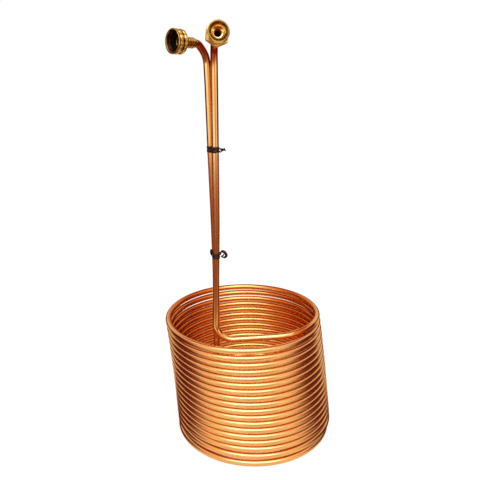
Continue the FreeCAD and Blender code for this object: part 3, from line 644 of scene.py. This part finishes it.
adapter = merged_copy("outlet_adapter", "male_hose_adapter")
widened_mouth(adapter, OUTLET_PLACE, OLD_MOUTH, MOUTH)
reskinned(adapter, OUTLET_PLACE, low=12.4, high=13.52, start=0.0, end=MALE_THREAD_END, rows=56,
          shape=male_thread)
reskinned(adapter, OUTLET_PLACE, low=4.5, high=11.5, start=0.0, end=BORE_END, rows=88, shape=male_funnel)
adapter_brass = brass_finish("adapter_brass", OUTLET_PLACE, recess=12.3, ridge=13.4, seed=1.0,
                             funnel=(10.6, BORE_END))
stand_in(adapter, "outlet_adapter", "chiller", adapter_brass)

# Inlet tailpiece: a turned brass flange and neck on which the swivel nut turns, with a hose
# barb that the tube goes through and is soldered into.
INLET_MOUTH, INLET_WAY = (-93.3686, -109.4415, 601.6742), (-0.7401548, -0.6711314, 0.0418757)
INLET_PLACE = fitting_place(INLET_MOUTH, INLET_WAY)
tailpiece = merged_copy("inlet_stem", "nut_tailpiece")
tailpiece_brass = brass_finish("tailpiece_brass", INLET_PLACE, recess=6.2, ridge=6.6, seed=2.0)
stand_in(tailpiece, "inlet_stem", "chiller", tailpiece_brass)

# Swivel nut: turned from brass, with a female hose thread inside and two ribs outside that
# are scalloped for the fingers. It turns on the tailpiece's neck, held by the flange.
CREST, FEMALE_DEPTH, FEMALE_START, FEMALE_END = 12.65, 0.85, 0.95, 7.2
RIB_RADIUS, THINNEST, RIBS_START, RIBS_END = 15.19, 13.65, 0.4, 12.8
VALLEYS, VALLEY_HALF, VALLEY_DEPTH, RIB_MIDDLE, CROWN = (2.1, 8.8), 1.15, 1.15, 5.4, 0.22
SCALLOPS, SCALLOP_DEPTH = 10, 0.70


def female_thread(depth, angle):
    """The radius of the female thread, from its crests outwards."""
    return CREST + FEMALE_DEPTH * thread_groove(depth, angle, FEMALE_START, FEMALE_END)


def finger_ribs(depth, angle):
    """The radius outside the nut: two rounded ribs behind a lip, scalloped in ten places."""
    valley = max(math.exp(-((depth - middle) / VALLEY_HALF) ** 2) for middle in VALLEYS)
    half_rib = (VALLEYS[1] - VALLEYS[0]) / 2
    crown = CROWN * (1 - math.cos(math.pi * (depth - RIB_MIDDLE) / half_rib)) / 2
    edges = min(1.0, (depth - RIBS_START) / 0.6, (RIBS_END - depth) / 0.6)
    scallop = SCALLOP_DEPTH * (0.5 + 0.5 * math.cos(SCALLOPS * angle)) ** 1.5
    behind_lip = min(max((depth - VALLEYS[0]) / 1.5, 0.0), 1.0)
    return max(RIB_RADIUS - (VALLEY_DEPTH * valley + crown) * edges - scallop * behind_lip, THINNEST)


swivel_nut = merged_copy("inlet_swivel_nut", "ribbed_swivel_nut")
reskinned(swivel_nut, INLET_PLACE, low=12.6, high=12.7, start=FEMALE_START, end=FEMALE_END, rows=32,
          shape=female_thread)
reskinned(swivel_nut, INLET_PLACE, low=13.8, high=15.3, start=RIBS_START, end=RIBS_END, rows=62,
          shape=finger_ribs)
# The nut's bore is painted with shade, nearly black, from just inside its mouth
nut_brass = brass_finish("nut_brass", INLET_PLACE, recess=14.3, ridge=15.1, seed=3.0, shaded_inside=(13.7, 0.4))
stand_in(swivel_nut, "inlet_swivel_nut", "swivel", nut_brass)

# Hose washer: a plain flat ring of black rubber, punched and a little rounded with use,
# which lies loose in the nut against the tailpiece's flange
WASHER_HOLE, WASHER_RADIUS, WASHER_FRONT, WASHER_BACK = 7.55, 12.85, 7.45, 9.95
WASHER_ROUND, WASHER_STEPS = 0.6, 72
RUBBER_BLACK, RUBBER_GREY = (0.005, 0.0045, 0.004, 1), (0.014, 0.012, 0.011, 1)
washer_form = bmesh.new()
corners = ((WASHER_HOLE, WASHER_FRONT), (WASHER_RADIUS, WASHER_FRONT),
           (WASHER_RADIUS, WASHER_BACK), (WASHER_HOLE, WASHER_BACK))
washer_form.faces.new([washer_form.verts.new((reach, 0, depth)) for reach, depth in corners])
bmesh.ops.bevel(washer_form, geom=list(washer_form.verts), offset=WASHER_ROUND, offset_type="OFFSET",
                segments=4, profile=0.5, affect="VERTICES", material=-1)
bmesh.ops.delete(washer_form, geom=list(washer_form.faces), context="FACES_ONLY")
bmesh.ops.spin(washer_form, geom=list(washer_form.verts) + list(washer_form.edges), cent=(0, 0, 0),
               axis=(0, 0, 1), angle=2 * math.pi, steps=WASHER_STEPS, use_merge=True)
bmesh.ops.recalc_face_normals(washer_form, faces=washer_form.faces)
for face in washer_form.faces:
    face.smooth = True
bmesh.ops.transform(washer_form, matrix=INLET_PLACE, verts=washer_form.verts)
washer = made("rubber_hose_washer", washer_form)
rubber, rubber_shader = new_material("washer_rubber")
rubber_shader.inputs["Specular IOR Level"].default_value = 0.08
tree = rubber.node_tree
where = coordinate_place(tree, "Object")[0]
rubber_marks = placed(tree, handling_marks, Place=where, Offset=4.0)
rubber_colour = blended(tree, rubber_marks["Clouds"], RUBBER_BLACK, RUBBER_GREY)
tree.links.new(rubber_colour, rubber_shader.inputs["Base Color"])
fine_grain = noise(tree, where, 2500.0, 2.0)
tree.links.new(maths(tree, "MULTIPLY_ADD", fine_grain, 0.2, 0.5), rubber_shader.inputs["Roughness"])
bumped(tree, rubber_shader, fine_grain, 0.25, 0.0002)
stand_in(washer, "hose_washer", "swivel", rubber)

# Solder: a lumpy ring of soft solder where the tube leaves each barb, run in with a torch
# and stained brown by the flux
SOLDER_GREY, FLUX_BROWN = (0.565, 0.470, 0.460, 1), (0.330, 0.130, 0.080, 1)
LUMP_SCALE, LUMP_HEIGHT = 420.0, 0.00022
solder, solder_shader = new_material("soft_solder")
solder_shader.inputs["Metallic"].default_value = 1.0
tree = solder.node_tree
where = coordinate_place(tree, "Object")[0]
lumps = noise(tree, where, LUMP_SCALE, 3.0)
solder_marks = placed(tree, handling_marks, Place=where, Offset=5.0)
solder_colour = blended(tree, stepped(tree, lumps, 0.48, 0.66), SOLDER_GREY, FLUX_BROWN)
tree.links.new(solder_colour, solder_shader.inputs["Base Color"])
dullness = maths(tree, "MULTIPLY_ADD", solder_marks["Streaks"], 0.2, 0.3)
tree.links.new(dullness, solder_shader.inputs["Roughness"])
bumped(tree, solder_shader, lumps, 0.35, 0.0006)
for node, name in (("inlet_solder", "inlet_solder_ring"), ("outlet_solder", "outlet_solder_ring")):
    ring = merged_copy(node, name, sharp_angle=60.0)
    form = bmesh.new()
    form.from_mesh(ring.data)
    form.normal_update()
    for vertex in form.verts:
        vertex.co += vertex.normal * (lump_noise.noise(vertex.co * LUMP_SCALE) * LUMP_HEIGHT)
    form.to_mesh(ring.data)
    form.free()
    stand_in(ring, node, "chiller", solder)

# Twist ties: a flat dark plastic ribbon with a wire in its middle, wound twice round both
# risers, with its two ends drawn together beside them and twisted
RIBBON_DARK, RIBBON_CREASED = (0.016, 0.004, 0.003, 1), (0.060, 0.020, 0.016, 1)
TIE_WIDTH, TIE_THICKNESS = 4.0, 0.7
AROUND_TUBE, PINCH_AHEAD, WRAP_STATIONS = 5.22, 3.2, 150
WRAP_RISE, CLIMB_START, CLIMB_SHARE = 4.1, 0.38, 0.24
RIBBON_STEP, SMOOTHINGS = 0.45, 10
TWIST_STEPS, TWIST_WAIST, TWIST_RISE = 18, 0.35, 1.1
ribbon, ribbon_shader = new_material("tie_ribbon")
ribbon_shader.inputs["Roughness"].default_value = 0.30
ribbon_shader.inputs["Specular IOR Level"].default_value = 0.35
ribbon_shader.inputs["Specular Tint"].default_value = (1.0, 0.70, 0.62, 1)
tree = ribbon.node_tree
where = coordinate_place(tree, "Object")[0]
creases = noise(tree, where, 700.0, 3.0)
ribbon_colour = blended(tree, stepped(tree, creases, 0.42, 0.68), RIBBON_DARK, RIBBON_CREASED)
tree.links.new(ribbon_colour, ribbon_shader.inputs["Base Color"])
bumped(tree, ribbon_shader, creases, 0.35, 0.0005)


def tie_route(right_tube, left_tube, height, aim, first_turn, last_turn, first_end, last_end):
    """The middle line of a tie's ribbon, in millimetres, with the way that its width lies: one
    end, two wraps between two angles, and the other end. An end is given from the pinch beside
    the tubes: ahead, to the side and up, for the place and for the width."""
    tubes = [Vector(right_tube), Vector(left_tube)]
    ahead = Vector((math.cos(math.radians(aim)), math.sin(math.radians(aim)), 0))
    side = Vector((-ahead.y, ahead.x, 0))
    edge = max(tubes, key=lambda tube: tube.dot(ahead.to_2d()))
    pinch = Vector((*edge, height)) + ahead * (AROUND_TUBE + PINCH_AHEAD)

    def laid(points):
        return [(pinch + ahead * a + side * b + Vector((0, 0, c)),
                 (ahead * d + side * e + Vector((0, 0, f))).normalized()) for a, b, c, d, e, f in points]

    route = laid(first_end)
    for station in range(WRAP_STATIONS + 1):
        share = station / WRAP_STATIONS
        angle = math.radians(aim + first_turn + (last_turn - first_turn) * share)
        out = Vector((math.cos(angle), math.sin(angle)))
        tube = max(tubes, key=lambda item: item.dot(out))
        climb = min(max((share - CLIMB_START) / CLIMB_SHARE, 0.0), 1.0)
        climb = climb * climb * (3 - 2 * climb)
        flat = tube + out * AROUND_TUBE
        route.append((Vector((*flat, height + WRAP_RISE * (climb - 0.5))), Vector((0, 0, 1))))
    return route + laid(last_end)


def smoothed(route):
    """A route with even stations, its places and its ribbon's lie smoothed."""
    even = []
    for (first, lie), (second, next_lie) in zip(route, route[1:]):
        if next_lie.dot(lie) < 0:
            next_lie = -next_lie
        pieces = max(1, int((second - first).length / RIBBON_STEP))
        for piece in range(pieces):
            even.append([first.lerp(second, piece / pieces), lie.lerp(next_lie, piece / pieces)])
    for _ in range(SMOOTHINGS):
        before = [(place.copy(), lie.copy()) for place, lie in even]
        for index in range(1, len(even) - 1):
            (place_1, lie_1), (place_2, lie_2), (place_3, lie_3) = before[index - 1:index + 2]
            lie_1 = lie_1 if lie_1.dot(lie_2) > 0 else -lie_1
            lie_3 = lie_3 if lie_3.dot(lie_2) > 0 else -lie_3
            even[index] = [(place_1 + place_2 * 2 + place_3) / 4, (lie_1 + lie_2 * 2 + lie_3) / 4]
    return even


def laid_ribbon(name, route, width, thickness):
    """Draws a ribbon's section, thicker over its wire, along a smoothed route."""
    left = [(-width / 2, -0.12), (-0.55, -0.16), (-0.25, -thickness / 2)]
    below = left + [(-x, y) for x, y in reversed(left)]
    outline = below + [(x, -y) for x, y in reversed(below)]
    even = smoothed(route)
    frames = []
    lie_before = None
    for index, (place, lie) in enumerate(even):
        ahead = (even[min(index + 1, len(even) - 1)][0] - even[max(index - 1, 0)][0]).normalized()
        lie = (lie - ahead * lie.dot(ahead)).normalized()
        if lie_before is not None and lie.dot(lie_before) < 0:
            lie = -lie
        lie_before = lie
        turned = Matrix((lie, ahead.cross(lie), ahead)).transposed().to_4x4()
        frames.append(Matrix.Translation(place) @ turned)
    form = bmesh.new()
    end_face = form.faces.new([form.verts.new(frames[0] @ Vector((x, y, 0))) for x, y in outline])
    edges = list(end_face.edges)
    for before, after in zip(frames, frames[1:]):
        step = bmesh.ops.extrude_edge_only(form, edges=edges)["geom"]
        edges = [item for item in step if isinstance(item, bmesh.types.BMEdge)]
        moved = [item for item in step if isinstance(item, bmesh.types.BMVert)]
        bmesh.ops.transform(form, matrix=after @ before.inverted(), verts=moved)
    bmesh.ops.edgeloop_fill(form, edges=edges)
    bmesh.ops.recalc_face_normals(form, faces=form.faces)
    for face in form.faces:
        face.smooth = len(face.verts) == 4
    bmesh.ops.scale(form, vec=(0.001, 0.001, 0.001), verts=form.verts)
    return made(name, form)


def twisted_end(strand, reach, turns, spread):
    """One strand of two that are twisted together, going away from the pinch."""
    points = []
    for step in range(TWIST_STEPS + 1):
        share = step / TWIST_STEPS
        spin = math.pi / 2 + strand * math.pi + turns * 2 * math.pi * share
        wide = spread * (1 - TWIST_WAIST * math.sin(math.pi * share))
        points.append((reach * share, math.cos(spin) * wide, math.sin(spin) * wide + TWIST_RISE * share,
                       0, -math.sin(spin), math.cos(spin)))
    return points


# The upper tie's ends are twisted together. Of the lower tie's ends one is bent out behind
# and the other makes a bow.
upper_route = tie_route((-45.0869, -80.2664), (-51.5228, -72.4501), height=466.6, aim=-22.0,
                        first_turn=52, last_turn=668,
                        first_end=twisted_end(1, reach=5.6, turns=0.75, spread=2.1)[::-1],
                        last_end=twisted_end(0, reach=5.6, turns=0.75, spread=2.1))
bent_out = [(-15.6, 4.5, 7.6, 0.8, 0.5, -0.2), (-15.9, 3.6, 5.6, 0.7, 0.6, 0.2),
            (-16.4, 2.4, 3.0, 0.3, 0.5, 0.8)]
bow = [(-2.6, -1.2, 3.4, -0.5, 0.4, 0.8), (-1.0, -0.8, 6.2, 0.7, 0.5, 0.5),
       (1.0, -0.3, 6.9, 0.2, 0.5, 0.9), (3.4, 0.0, 5.6, 0.6, 0.5, 0.7),
       (5.4, 0.0, 3.2, 0.8, 0.5, 0.4), (6.3, -0.1, 0.4, 1, 0.4, 0),
       (5.0, -0.4, -1.9, 0.5, 0.5, -0.8), (2.6, -0.8, -2.3, 0.1, 0.5, -0.9),
       (0.6, -1.2, -1.2, 0.7, 0.5, -0.5), (0.4, -1.8, 1.0, 0.9, 0.4, 0.2),
       (1.8, -2.3, 2.4, 0.5, 0.5, 0.7), (3.6, -2.5, 1.6, 0.5, 0.5, 0.7)]
lower_route = tie_route((-47.0859, -81.4903), (-48.7795, -71.5079), height=319.4, aim=-8.0,
                        first_turn=176, last_turn=668, first_end=bent_out, last_end=bow)
for node, name, route in (("upper_twist_tie", "upper_tie_ribbon", upper_route),
                          ("lower_twist_tie", "lower_tie_ribbon", lower_route)):
    tie = laid_ribbon(name, route, TIE_WIDTH, TIE_THICKNESS)
    stand_in(tie, node, "chiller", ribbon)
